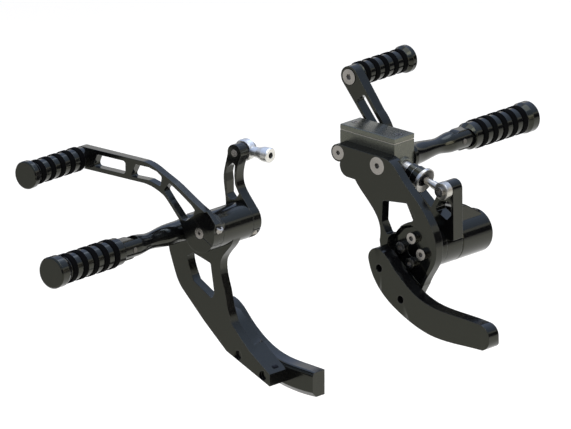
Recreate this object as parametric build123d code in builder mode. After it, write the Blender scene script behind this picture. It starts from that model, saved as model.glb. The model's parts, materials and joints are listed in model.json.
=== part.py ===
from build123d import *
import math
import os

os.makedirs("parts", exist_ok=True)

# Frame: origin on the motorcycle's centre plane, on the common axis of the two foot pegs.
# +X points to the rear, +Y to the right side, +Z up. All sizes are in mm.

# distances from the centre plane, the same on both sides
FRAME_IN = 120.0
FRAME_OUT = 140.0
PEG_END = 400.0
PEG_CAP = 381.0
PEG_PIN = 276.0
PEG_NECK_END = 265.0

# left side
BRACKET_OUT = 168.0
PLATE_THICK = 12.0
LEVER_OUT = 204.0
LEVER_WEB = 10.0
HUB_THICK = 17.0
ARM_IN = 125.0
ARM_THICK = 12.5
SHIFT_X = 40.0
SHIFT_Z = 7.7
BARREL_R = 21.0
SHAFT_R = 6.0
BUSH_R = 8.5
ROD_X = 33.0
ROD_Z = 81.9
TOE_X = -126.9
TOE_Z = 61.9

# right side
PLATE_R_THICK = 16.5
PLATE_R_OUT = FRAME_OUT + PLATE_R_THICK
BLOCK_OUT = PLATE_R_OUT + 33.5
PEDAL_IN = PLATE_R_OUT + 21.8
CRANK_OUT = PEDAL_IN + 15.7
PEDAL_ARM_IN = PEDAL_IN + 12.7
PEDAL_OUT = PEDAL_ARM_IN + 13.0
CARRIER_OUT = PEDAL_OUT + 53.0
FRONT_X = -55.8
FRONT_Z = 4.5
BRAKE_X = 44.8
BRAKE_Z = -89.6
BRAKE_SHAFT_R = 8.0
BRAKE_BUSH_R = 10.0
CARRIER_R = 24.6
EYE_X = 67.2
EYE_Z = -22.9
BTOE_X = -83.0
BTOE_Z = 74.9
CYL_TILT = 18.7

# clearances
RUN = 0.05
SIDE_GAP = 0.3
PRESS = 0.0


def across(y):
    # plane of constant y, sketch x is X and sketch y is Z, normal is -Y
    return Plane.XZ.offset(-y)


def ring_profile(half, radius, inner):
    return [(inner, -half), (radius - 0.8, -half), (radius, -half + 0.8), (radius, half - 0.8),
            (radius - 0.8, half), (inner, half)]


def save(part, name):
    part.label = name
    export_step(part, "parts/" + name + ".step")


# Frame plates.
UPPER = [(18.2, -86.0), (31.0, -93.8), (41.3, -104.9), (58.0, -120.2), (73.6, -130.2),
         (89.7, -136.6), (118.9, -141.2)]
LOWER = [(91.7, -170.2), (56.4, -157.0), (21.2, -132.1), (4.6, -99.2)]
L_LOWER = [(91.7, -165.5), (56.4, -152.5), (21.2, -128.5), (4.6, -99.2)]
L_END = 146.2
R_END = 177.0
FRAME_ROUND = 5.0
SLANT = 6.0
BOLT_R = 4.0
BOLT_HEAD_R = 6.3
BOLT_HEAD_H = 8.0
L_BOLTS = [(63.9, -129.4), (99.9, -146.0)]
R_BOLTS = [(20.1, -108.3), (50.8, -138.1)]
BOLT_SEAT_L = 148.0
BOLT_TIP_L = 124.0

with BuildPart() as left_frame_plate:
    with BuildSketch(across(-FRAME_IN)):
        with BuildLine():
            Spline(*(UPPER + [(L_END, -143.4)]))
            Line((L_END, -143.4), (L_END, -171.3))
            Spline(*([(L_END, -171.3)] + L_LOWER))
            ThreePointArc((4.6, -99.2), (7.6, -90.5), (18.2, -86.0))
        make_face()
    extrude(amount=FRAME_OUT - FRAME_IN)
    fillet(left_frame_plate.faces().sort_by(Axis.Y)[0].edges().filter_by(
        lambda e: e.length > 100 and e.center().Z > -140), FRAME_ROUND)
    chamfer(left_frame_plate.faces().sort_by(Axis.Y)[0].edges().filter_by(
        lambda e: e.length > 100 and e.center().Z < -140), SLANT)
    for bx, bz in L_BOLTS:
        with BuildSketch(across(-FRAME_OUT)):
            with Locations((bx, bz)):
                Circle(BOLT_R)
        extrude(amount=-(FRAME_OUT - BOLT_TIP_L), mode=Mode.SUBTRACT)
save(left_frame_plate.part, "left_frame_plate")

with BuildPart() as right_frame_plate:
    with BuildSketch(across(FRAME_IN)):
        with BuildLine():
            Spline(*(UPPER + [(150.0, -143.4), (164.0, -145.0)]))
            ThreePointArc((164.0, -145.0), (173.2, -149.6), (R_END, -159.5))
            Line((R_END, -159.5), (R_END, -174.0))
            Spline(*([(R_END, -174.0), (139.0, -173.4)] + LOWER))
            ThreePointArc((4.6, -99.2), (7.6, -90.5), (18.2, -86.0))
        make_face()
    extrude(amount=FRAME_IN - FRAME_OUT)
    fillet(right_frame_plate.faces().sort_by(Axis.Y)[-1].edges().filter_by(
        lambda e: e.length > 100 and e.center().Z > -140), FRAME_ROUND)
    for bx, bz in R_BOLTS:
        with BuildSketch(across(FRAME_IN)):
            with Locations((bx, bz)):
                Circle(4.3)
        extrude(amount=-(FRAME_OUT - FRAME_IN), mode=Mode.SUBTRACT)
save(right_frame_plate.part, "right_frame_plate")

# Left bracket.
PLATE_IN = BRACKET_OUT - PLATE_THICK
HUB_IN = LEVER_OUT - HUB_THICK
ARM_OUT = ARM_IN + ARM_THICK
BARREL_OUT_Y = HUB_IN - SIDE_GAP
BARREL_IN_Y = ARM_OUT + SIDE_GAP
with BuildPart() as left_bracket:
    with BuildSketch(across(-PLATE_IN)):
        with BuildLine():
            Polyline((6, 14), (-8, 13), (-31, -9))
            Spline((-31, -9), (-34.1, -20), (-34.1, -28.7), (-29.5, -43.7), (-20.8, -64.7),
                   (-13.1, -74.5))
            Polyline((-13.1, -74.5), (15.8, -103), (47.6, -130.9), (65.1, -138.9), (109.2, -159),
                     (109.2, -146.4), (85.2, -129.4), (66.7, -111.4), (55.2, -98.9), (49.5, -83),
                     (45.2, -63.4))
            Spline((45.2, -63.4), (41.0, -50), (39.2, -40), (39.8, -31), (44.2, -23.2), (50.8, -15.5), (58.0, -3.0))
            Polyline((58.0, -3.0), (50, 5), (30, 5), (14, 8), (6, 14))
        make_face()
        fillet(vertices().filter_by_position(Axis.X, -40, -20).filter_by_position(Axis.Y, -12, 0), 6)
    extrude(amount=PLATE_THICK)
    with BuildSketch(across(-BRACKET_OUT)):
        with BuildLine():
            Polyline((-7.8, -34.5), (0.4, -29.2), (25.2, -36.4), (30.6, -69.5), (27.0, -76.0), (1.4, -61.0))
            Spline((1.4, -61.0), (-3.4, -50.5), (-6.6, -41.5), (-7.8, -34.5))
        make_face()
        fillet(vertices().filter_by_position(Axis.X, 20, 40), 2.6)
    extrude(amount=-PLATE_THICK, mode=Mode.SUBTRACT)
    # thick lower block
    with BuildSketch(across(-FRAME_OUT)):
        with BuildLine():
            Polyline((6.4, -94.5), (15.8, -103), (47.6, -130.9), (65.1, -138.9), (109.2, -159),
                     (109.2, -146.4), (85.2, -130.6), (66.7, -113.5), (54.5, -101), (44, -91),
                     (30, -88.5), (6.4, -94.5))
        make_face()
    extrude(amount=PLATE_IN - FRAME_OUT + 0.5)
    # barrel
    with BuildSketch(across(-BARREL_IN_Y)):
        with Locations((SHIFT_X, SHIFT_Z)):
            Circle(BARREL_R)
    extrude(amount=BARREL_OUT_Y - BARREL_IN_Y)
    with BuildSketch(across(-BARREL_IN_Y)):
        with Locations((SHIFT_X, SHIFT_Z)):
            Circle(BUSH_R + PRESS)
    extrude(amount=BARREL_OUT_Y - BARREL_IN_Y, mode=Mode.SUBTRACT)
    # seat of the foot-peg arm
    with BuildSketch(across(-PLATE_IN)):
        Circle(5.2)
    extrude(amount=PLATE_THICK, mode=Mode.SUBTRACT)
    for bx, bz in L_BOLTS:
        with BuildSketch(across(-FRAME_OUT)):
            with Locations((bx, bz)):
                Circle(BOLT_R + 0.3)
        extrude(amount=BRACKET_OUT - FRAME_OUT, mode=Mode.SUBTRACT)
        with BuildSketch(across(-BOLT_SEAT_L)):
            with Locations((bx, bz)):
                Circle(BOLT_HEAD_R + 0.4)
        extrude(amount=BRACKET_OUT - BOLT_SEAT_L, mode=Mode.SUBTRACT)
save(left_bracket.part, "left_bracket")

with BuildPart() as left_frame_bolts:
    for bx, bz in L_BOLTS:
        with BuildSketch(across(-BOLT_TIP_L)):
            with Locations((bx, bz)):
                Circle(BOLT_R)
        extrude(amount=BOLT_SEAT_L - BOLT_TIP_L)
        with BuildSketch(across(-BOLT_SEAT_L)):
            with Locations((bx, bz)):
                Circle(BOLT_HEAD_R)
        extrude(amount=BOLT_HEAD_H)
        with BuildSketch(across(-BOLT_SEAT_L - BOLT_HEAD_H)):
            with Locations((bx, bz)):
                RegularPolygon(3.4, 6)
        extrude(amount=-4.0, mode=Mode.SUBTRACT)
save(left_frame_bolts.part, "left_frame_bolts")

# Foot pegs, both sides.
ARM_R = 11.6
NECK_R = 9.2
CHEEK_GAP = 6.3
TONGUE = 6.0
PIN_R = 3.0
RING_R = 16.25
CORE_R = 15.2
CAP_R = 17.5
GROOVE_R = 13.0
RING_W = 8.7
RING_PITCH = 17.0
# the cheeks' round ends turn in the core with a small gap
CHEEK_R = 16.6
CHEEK_CLEAR = 0.4
KNUCKLE = 12.0


def peg_arm_part(side, root):
    # Solid of revolution about the peg axis, then the fork is cut for the tongue
    with BuildPart() as arm:
        with BuildSketch(Plane.XY):
            with BuildLine():
                Polyline((0, side * root), (14.5, side * root), (14.5, side * (root + 5)))
                Spline((14.5, side * (root + 5)), (12.7, side * (root + 15)), (ARM_R, side * (PEG_PIN - 60)),
                       (NECK_R + 0.5, side * (PEG_PIN - 44)), (NECK_R, side * (PEG_PIN - 32)),
                       (NECK_R + 1.2, side * (PEG_PIN - 23)), (ARM_R, side * (PEG_PIN - 11)))
                Polyline((ARM_R, side * (PEG_PIN - 11)), (ARM_R, side * (PEG_PIN + CHEEK_R)),
                         (0, side * (PEG_PIN + CHEEK_R)), (0, side * root))
            make_face()
        revolve(axis=Axis.Y)
        with BuildSketch(Plane.XY.offset(-20)):
            with Locations((0, side * (PEG_PIN + 4))):
                Rectangle(2 * CHEEK_GAP, 2 * 16)
        extrude(amount=40, mode=Mode.SUBTRACT)
        # round ends of the cheeks
        with BuildSketch(Plane.YZ.offset(-20)):
            with Locations((side * (PEG_PIN + 20), 0)):
                Rectangle(40, 60)
            with Locations((side * PEG_PIN, 0)):
                Circle(CHEEK_R, mode=Mode.SUBTRACT)
        extrude(amount=40, mode=Mode.SUBTRACT)
        with BuildSketch(Plane.YZ.offset(-20)):
            with Locations((side * PEG_PIN, 0)):
                Circle(PIN_R)
        extrude(amount=40, mode=Mode.SUBTRACT)
        if side < 0:
            # blind thread for the bolt from the bracket
            with BuildSketch(across(side * root)):
                Circle(5.0)
            extrude(amount=30, mode=Mode.SUBTRACT)
        else:
            # stud that screws into the block
            with BuildSketch(across(side * root)):
                Circle(5.0)
            extrude(amount=7.5)
    return arm.part


def peg_core_part(side):
    with BuildPart() as core:
        with BuildSketch(Plane.XY):
            with BuildLine():
                pts = [(0, PEG_PIN + KNUCKLE), (ARM_R, PEG_PIN + KNUCKLE), (CORE_R, PEG_PIN + KNUCKLE + 6)]
                for k in range(5):
                    end = PEG_CAP - (4 - k) * RING_PITCH
                    pts += [(CORE_R, end - RING_W - RUN), (GROOVE_R, end - RING_W - RUN), (GROOVE_R, end + RUN),
                            (CORE_R, end + RUN)]
                pts = pts[:-1] + [(CORE_R, PEG_CAP + RUN)]
                pts += [(CORE_R, PEG_CAP + 1.5), (CAP_R, PEG_CAP + 7.5), (CAP_R, PEG_END - 1.5),
                        (CAP_R - 1.5, PEG_END), (0, PEG_END), (0, PEG_PIN + KNUCKLE)]
                Polyline(*[(a, side * b) for a, b in pts])
            make_face()
        revolve(axis=Axis.Y)
        # tongue that turns in the fork
        with BuildSketch(Plane.YZ.offset(-TONGUE)):
            with Locations((side * PEG_PIN, 0)):
                Circle(ARM_R - 0.4)
            with Locations((side * (PEG_PIN + KNUCKLE / 2 + 1), 0)):
                Rectangle(KNUCKLE + 2, 2 * (ARM_R - 0.4))
        extrude(amount=2 * TONGUE)
        # the fork's cheeks swing in this space
        with BuildSketch(Plane.YZ.offset(-TONGUE)):
            with Locations((side * PEG_PIN, 0)):
                Circle(CHEEK_R + CHEEK_CLEAR)
        extrude(amount=-10, mode=Mode.SUBTRACT)
        with BuildSketch(Plane.YZ.offset(TONGUE)):
            with Locations((side * PEG_PIN, 0)):
                Circle(CHEEK_R + CHEEK_CLEAR)
        extrude(amount=10, mode=Mode.SUBTRACT)
        with BuildSketch(Plane.YZ.offset(-20)):
            with Locations((side * PEG_PIN, 0)):
                Circle(PIN_R + RUN)
        extrude(amount=40, mode=Mode.SUBTRACT)
    return core.part


def peg_rings_part(side, ends, width, outer, inner, x, z):
    with BuildPart() as rings:
        for end in ends:
            mid = side * (end - width / 2)
            with BuildSketch(Plane(origin=(x, 0, z), x_dir=(1, 0, 0), z_dir=(0, 0, 1))):
                with BuildLine():
                    Polyline(*([(a, mid + b) for a, b in ring_profile(width / 2, outer, inner)]
                               + [(inner, mid - width / 2)]))
                make_face()
            revolve(axis=Axis((x, 0, z), (0, 1, 0)))
    return rings.part


def pin_part(side):
    with BuildPart() as pin:
        with BuildSketch(Plane.YZ.offset(-ARM_R - 0.6)):
            with Locations((side * PEG_PIN, 0)):
                Circle(PIN_R)
        extrude(amount=2 * ARM_R + 1.2)
    return pin.part


foot_ends = [PEG_CAP - k * RING_PITCH for k in range(5)]
save(peg_arm_part(-1, BRACKET_OUT), "left_peg_arm")
save(peg_core_part(-1), "left_peg_core")
save(peg_rings_part(-1, foot_ends, RING_W, RING_R, GROOVE_R + RUN, 0, 0), "left_peg_rings")
save(pin_part(-1), "left_peg_pin")
save(peg_arm_part(1, BLOCK_OUT), "right_peg_arm")
save(peg_core_part(1), "right_peg_core")
save(peg_rings_part(1, foot_ends, RING_W, RING_R, GROOVE_R + RUN, 0, 0), "right_peg_rings")
save(pin_part(1), "right_peg_pin")

with BuildPart() as left_peg_bolt:
    with BuildSketch(across(-PLATE_IN)):
        Circle(5.0)
    extrude(amount=PLATE_THICK + 26)
    with BuildSketch(across(-PLATE_IN)):
        Circle(8.0)
    extrude(amount=-6)
    with BuildSketch(across(-PLATE_IN + 6)):
        RegularPolygon(4.6, 6)
    extrude(amount=4, mode=Mode.SUBTRACT)
save(left_peg_bolt.part, "left_peg_bolt")

# Shift lever.
TOE_RING_R = 13.5
TOE_CAP_R = 15.4
TOE_CORE_R = 12.6
TOE_GROOVE_R = 9.5
TOE_RING_W = 8.0
TOE_PITCH = 15.8
L_TOE_END = 297.0
LEVER_IN = LEVER_OUT - LEVER_WEB
# lens-shaped scallop above the shaft: a shallow cone, kept inside a circle
SCALLOP_SLOPE = 13.0
SCALLOP_DEPTH = 4.6
with BuildPart() as scallop:
    with BuildSketch(across(-LEVER_OUT + SCALLOP_DEPTH)):
        with Locations((47.8, 11.4)):
            Circle(21.3)
    extrude(amount=SCALLOP_DEPTH + 1)
    with Locations(Location((51.0, -LEVER_OUT + SCALLOP_DEPTH / 2, 38.0), (90, 0, 0))):
        Cone(24.0 - SCALLOP_DEPTH / math.tan(math.radians(SCALLOP_SLOPE)), 24.0, SCALLOP_DEPTH,
             mode=Mode.INTERSECT)
with BuildPart() as shift_lever:
    with BuildSketch(across(-LEVER_IN)):
        with BuildLine():
            Line((TOE_X, TOE_Z + 12.1), (-40, 73.6))
            Spline((-40, 73.6), (-25.5, 70.6), (-11.2, 64.2), (3.1, 57.9), (17.4, 49.9),
                   (31.7, 41.5), (47.0, 33.6))
            Line((47.0, 33.6), (62.5, 21.5))
            Line((62.5, 21.5), (61.0, 11.5))
            ThreePointArc((61.0, 11.5), (61.2, 4.6), (57.0, -5.0))
            ThreePointArc((57.0, -5.0), (36, -13.2), (19.6, 3))
            Line((19.6, 3), (11.6, 18.7))
            Spline((11.6, 18.7), (4.5, 26.4), (-2.7, 34.1), (-9.8, 40.7), (-17, 44.4), (-24.1, 47),
                   (-38.4, 49.6))
            Line((-38.4, 49.6), (TOE_X, TOE_Z - 12.1))
            ThreePointArc((TOE_X, TOE_Z - 12.1), (TOE_X - 12.1, TOE_Z), (TOE_X, TOE_Z + 12.1))
        make_face()
    extrude(amount=LEVER_WEB)
    # hub that clamps on the shaft
    with BuildSketch(across(-HUB_IN)):
        with Locations((SHIFT_X, SHIFT_Z)):
            Circle(BARREL_R)
        with BuildLine():
            Polyline((44, 26), (50, 27.5), (62.5, 20.0), (60.6, 11.5), (50, 0), (44, 26))
        make_face()
    extrude(amount=HUB_THICK)
    # three lightening slots
    with BuildSketch(across(-LEVER_OUT)):
        with BuildLine():
            Polyline((-105.2, 69.1), (-64.8, 69.1), (-64.8, 54.4), (-111.0, 54.4), (-105.2, 69.1))
        make_face()
        fillet(vertices(), 3.6)
    extrude(amount=-LEVER_WEB, mode=Mode.SUBTRACT)
    with BuildSketch(across(-LEVER_OUT)):
        with BuildLine():
            Polyline((-50.2, 68.5), (-31.2, 68.5), (-19.8, 65.9), (-13.0, 61.5), (-14.6, 49.8),
                     (-31.2, 54.1), (-58.0, 53.4), (-50.2, 68.5))
        make_face()
        fillet(vertices(), 2.6)
    extrude(amount=-LEVER_WEB, mode=Mode.SUBTRACT)
    with BuildSketch(across(-LEVER_OUT)):
        with BuildLine():
            Polyline((-2.4, 56.6), (13.0, 47.8), (28.8, 37.8), (34.0, 32.8), (31.5, 26.0), (22.0, 18.6),
                     (16.5, 18.6), (-1.2, 36.6), (-10.2, 46.8), (-2.4, 56.6))
        make_face()
        fillet(vertices(), 1.8)
    extrude(amount=-LEVER_WEB, mode=Mode.SUBTRACT)
    # scallop in the outer face above the shaft
    add(scallop.part, mode=Mode.SUBTRACT)
    # shaft bore, pinch slit and screw hole
    with BuildSketch(across(-HUB_IN)):
        with Locations((SHIFT_X, SHIFT_Z)):
            Circle(SHAFT_R)
    extrude(amount=HUB_THICK, mode=Mode.SUBTRACT)
    with BuildSketch(across(-HUB_IN)):
        with BuildLine():
            Polyline((SHIFT_X, SHIFT_Z - 0.4), (70, SHIFT_Z - 17.7), (70, SHIFT_Z - 16.9),
                     (SHIFT_X, SHIFT_Z + 0.4), (SHIFT_X, SHIFT_Z - 0.4))
        make_face()
    extrude(amount=HUB_THICK, mode=Mode.SUBTRACT)
    PINCH_PL = Plane(origin=(63.0, -196.5, 17.2), x_dir=(0, 1, 0), z_dir=(0.5, 0, 0.866))
    with BuildSketch(PINCH_PL):
        Circle(2.5)
    extrude(amount=-33, mode=Mode.SUBTRACT)
    with BuildSketch(PINCH_PL):
        Circle(4.6)
    extrude(amount=-4.5, mode=Mode.SUBTRACT)
    # toe peg hole
    with BuildSketch(across(-LEVER_IN)):
        with Locations((TOE_X, TOE_Z)):
            Circle(5.1)
    extrude(amount=LEVER_WEB, mode=Mode.SUBTRACT)
save(shift_lever.part, "shift_lever")

with BuildPart() as lever_clamp_screw:
    with BuildSketch(PINCH_PL.offset(-4.5)):
        Circle(4.3)
    extrude(amount=4.2)
    with BuildSketch(PINCH_PL.offset(-4.5)):
        Circle(2.5)
    extrude(amount=-22)
    with BuildSketch(PINCH_PL.offset(-0.3)):
        RegularPolygon(2.4, 6)
    extrude(amount=-2.4, mode=Mode.SUBTRACT)
save(lever_clamp_screw.part, "lever_clamp_screw")


def toe_core_part(side, x, z, seat, end, count):
    # hollow core that carries the rings, closed by the cap
    with BuildPart() as core:
        with BuildSketch(Plane(origin=(x, 0, z), x_dir=(1, 0, 0), z_dir=(0, 0, 1))):
            with BuildLine():
                cap = end - 13.0
                pts = [(0, seat), (TOE_CORE_R - 1.0, seat)]
                for k in range(count):
                    stop = cap - (count - 1 - k) * TOE_PITCH
                    pts += [(TOE_CORE_R, stop - TOE_RING_W - RUN), (TOE_GROOVE_R, stop - TOE_RING_W - RUN),
                            (TOE_GROOVE_R, stop + RUN), (TOE_CORE_R, stop + RUN)]
                pts = pts[:-1] + [(TOE_CORE_R, cap + RUN)]
                pts += [(TOE_CORE_R, cap + 1.2), (TOE_CAP_R, cap + 6.0), (TOE_CAP_R, end - 1.2),
                        (TOE_CAP_R - 1.2, end), (0, end), (0, seat)]
                Polyline(*[(a, side * b) for a, b in pts])
            make_face()
        revolve(axis=Axis((x, 0, z), (0, 1, 0)))
        with BuildSketch(across(side * seat)):
            with Locations((x, z)):
                Circle(5.0)
        extrude(amount=-side * 40, mode=Mode.SUBTRACT)
    return core.part


def toe_screw_part(side, x, z, inner, seat, head_r):
    with BuildPart() as screw:
        with BuildSketch(across(side * inner)):
            with Locations((x, z)):
                Circle(head_r)
        extrude(amount=side * 4.5)
        with BuildSketch(across(side * inner)):
            with Locations((x, z)):
                Circle(5.0)
        extrude(amount=-side * (seat - inner + 30))
        with BuildSketch(across(side * (inner - 4.5))):
            with Locations((x, z)):
                RegularPolygon(3.6, 6)
        extrude(amount=-side * 3.0, mode=Mode.SUBTRACT)
    return screw.part


ltoe_ends = [L_TOE_END - 13.0 - k * TOE_PITCH for k in range(5)]
save(toe_core_part(-1, TOE_X, TOE_Z, LEVER_OUT, L_TOE_END, 5), "shift_toe_peg")
save(peg_rings_part(-1, ltoe_ends, TOE_RING_W, TOE_RING_R, TOE_GROOVE_R + RUN, TOE_X, TOE_Z),
     "shift_toe_rings")
save(toe_screw_part(-1, TOE_X, TOE_Z, LEVER_IN, LEVER_OUT, 8.0), "shift_toe_screw")

# Shift shaft and arm.
with BuildPart() as shift_shaft:
    with BuildSketch(across(-ARM_IN - 0.5)):
        with Locations((SHIFT_X, SHIFT_Z)):
            Circle(SHAFT_R)
    extrude(amount=LEVER_OUT - ARM_IN - 0.8)
    with BuildSketch(across(-LEVER_OUT + 0.3)):
        with Locations((SHIFT_X, SHIFT_Z)):
            Circle(1.8)
    extrude(amount=-3, mode=Mode.SUBTRACT)
save(shift_shaft.part, "shift_shaft")

with BuildPart() as shift_bushes:
    for y0, y1 in ((BARREL_IN_Y, BARREL_IN_Y + 16), (BARREL_OUT_Y - 16, BARREL_OUT_Y)):
        with BuildSketch(across(-y0)):
            with Locations((SHIFT_X, SHIFT_Z)):
                Circle(BUSH_R)
                Circle(SHAFT_R + RUN, mode=Mode.SUBTRACT)
        extrude(amount=y1 - y0)
save(shift_bushes.part, "shift_bushes")

with BuildPart() as shift_arm:
    with BuildSketch(across(-ARM_IN)):
        with Locations((SHIFT_X, SHIFT_Z)):
            Circle(BARREL_R)
        with BuildLine():
            Spline((19.3, 12.0), (19.4, 38), (17.9, 55), (20.5, 68), (23.6, 80.2))
            ThreePointArc((23.6, 80.2), (31.5, 91.3), (42.3, 80.2))
            Spline((42.3, 80.2), (38.3, 70), (35.7, 56), (36.6, 48), (43, 36.5), (53.5, 24.0))
            Line((53.5, 24.0), (19.3, 12.0))
        make_face()
    extrude(amount=ARM_THICK)
    with BuildSketch(across(-ARM_OUT)):
        with BuildLine():
            Polyline((30.8, 70.8), (33.6, 68.5), (32.9, 56.0), (34.0, 46.8), (39.5, 37.2), (34.5, 30.5),
                     (27.0, 28.6), (21.8, 34.0), (21.7, 48.0), (20.6, 57.0), (22.4, 64.0), (30.8, 70.8))
        make_face()
        fillet(vertices(), 1.1)
    extrude(amount=-ARM_THICK, mode=Mode.SUBTRACT)
    with BuildSketch(across(-ARM_IN)):
        with Locations((SHIFT_X, SHIFT_Z)):
            Circle(SHAFT_R)
    extrude(amount=ARM_THICK, mode=Mode.SUBTRACT)
    with BuildSketch(across(-ARM_IN)):
        with BuildLine():
            Polyline((SHIFT_X, SHIFT_Z - 0.5), (SHIFT_X + 30, SHIFT_Z - 11.4), (SHIFT_X + 30, SHIFT_Z - 10.4),
                     (SHIFT_X, SHIFT_Z + 0.5), (SHIFT_X, SHIFT_Z - 0.5))
        make_face()
    extrude(amount=ARM_THICK, mode=Mode.SUBTRACT)
    ARM_PINCH = Plane(origin=(54.5, -ARM_IN - ARM_THICK / 2, -7.5), x_dir=(0, 1, 0), z_dir=(0, 0, -1))
    with BuildSketch(ARM_PINCH):
        Circle(2.5)
    extrude(amount=-24, mode=Mode.SUBTRACT)
    with BuildSketch(ARM_PINCH):
        Circle(4.7)
    extrude(amount=-6.5, mode=Mode.SUBTRACT)
    with BuildSketch(ARM_PINCH):
        Circle(4.7)
    extrude(amount=12, mode=Mode.SUBTRACT)
    with BuildSketch(across(-ARM_IN)):
        with Locations((ROD_X, ROD_Z)):
            Circle(4.0)
    extrude(amount=ARM_THICK, mode=Mode.SUBTRACT)
save(shift_arm.part, "shift_arm")

with BuildPart() as arm_clamp_screw:
    with BuildSketch(ARM_PINCH.offset(-6.5)):
        Circle(4.3)
    extrude(amount=4.5)
    with BuildSketch(ARM_PINCH.offset(-6.5)):
        Circle(2.5)
    extrude(amount=-17)
    with BuildSketch(ARM_PINCH.offset(-2.0)):
        RegularPolygon(2.4, 6)
    extrude(amount=-2.4, mode=Mode.SUBTRACT)
save(arm_clamp_screw.part, "arm_clamp_screw")

# Rod end.
BALL_HALF = 6.0
BODY_HALF = 4.5
BALL_R = 8.0
ROD_Y = ARM_IN - BALL_HALF
EYE_R = 12.0
SHANK_END = 36.0
BOLT_ROD_R = 4.0
with BuildPart() as rod_end_body:
    with BuildSketch(across(-ROD_Y + BODY_HALF)):
        with Locations((ROD_X, ROD_Z)):
            Circle(EYE_R)
    extrude(amount=2 * BODY_HALF)
    chamfer(rod_end_body.edges().filter_by(GeomType.CIRCLE), 1.4)
    with BuildSketch(Plane(origin=(ROD_X, -ROD_Y, ROD_Z), x_dir=(1, 0, 0), z_dir=(0, 1, 0))):
        with BuildLine():
            Polyline((9.0, 0), (9.0, 5.6), (19.0, 5.9), (27.0, 8.2), (SHANK_END - 1, 8.2),
                     (SHANK_END, 7.4), (SHANK_END, 0), (9.0, 0))
        make_face()
    revolve(axis=Axis((ROD_X, -ROD_Y, ROD_Z), (1, 0, 0)))
    with Locations((ROD_X, -ROD_Y, ROD_Z)):
        Sphere(BALL_R + RUN, mode=Mode.SUBTRACT)
    with BuildSketch(Plane.YZ.offset(ROD_X + SHANK_END)):
        with Locations((-ROD_Y, ROD_Z)):
            Circle(3.4)
    extrude(amount=-17, mode=Mode.SUBTRACT)
save(rod_end_body.part, "rod_end_body")

with BuildPart() as rod_end_ball:
    with Locations((ROD_X, -ROD_Y, ROD_Z)):
        Sphere(BALL_R)
    with BuildSketch(across(-ROD_Y + BALL_HALF)):
        with Locations((ROD_X, ROD_Z)):
            Circle(20)
    extrude(amount=-20, mode=Mode.SUBTRACT)
    with BuildSketch(across(-ROD_Y - BALL_HALF)):
        with Locations((ROD_X, ROD_Z)):
            Circle(20)
    extrude(amount=20, mode=Mode.SUBTRACT)
    with BuildSketch(across(-ROD_Y + 10)):
        with Locations((ROD_X, ROD_Z)):
            Circle(BOLT_ROD_R)
    extrude(amount=20, mode=Mode.SUBTRACT)
save(rod_end_ball.part, "rod_end_ball")

with BuildPart() as rod_end_bolt:
    with BuildSketch(across(-ROD_Y + BALL_HALF)):
        with Locations((ROD_X, ROD_Z)):
            Circle(6.5)
    extrude(amount=-5)
    with BuildSketch(across(-ROD_Y + BALL_HALF)):
        with Locations((ROD_X, ROD_Z)):
            Circle(BOLT_ROD_R)
    extrude(amount=2 * BALL_HALF + ARM_THICK + 0.4)
    with BuildSketch(across(-ROD_Y + BALL_HALF + 5)):
        with Locations((ROD_X, ROD_Z)):
            RegularPolygon(3.4, 6)
    extrude(amount=3, mode=Mode.SUBTRACT)
save(rod_end_bolt.part, "rod_end_bolt")

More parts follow.
